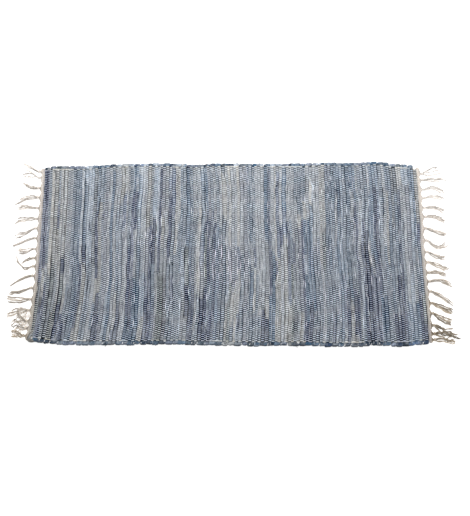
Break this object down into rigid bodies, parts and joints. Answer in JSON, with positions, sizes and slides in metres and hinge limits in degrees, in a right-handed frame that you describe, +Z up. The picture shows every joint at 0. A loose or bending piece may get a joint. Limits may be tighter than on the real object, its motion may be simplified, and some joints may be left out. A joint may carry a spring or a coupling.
{
  "type": "rag rug",
  "caption": "Flat rectangular rag rug of denim strips on a cotton warp, ribbed across, with lumpy long edges and knotted cotton tassels at both ends.",
  "frame": {"origin": "on the floor under the middle of the whole rug, tassels included", "axes": "+X along the rug's length, towards the end on the picture's right; +Y across it, towards the picture's far edge; +Z up"},
  "size_m": [1.3446, 0.61, 0.0076],
  "materials": {
    "denim_rag": "matt, washed denim strips in mixed blues and greys",
    "cotton_yarn": "matt, unbleached cotton yarn"
  },
  "bodies": {
    "root": {"rag_body": "denim_rag", "heading_left": "cotton_yarn", "heading_right": "cotton_yarn"}
  },
  "joints": []
}
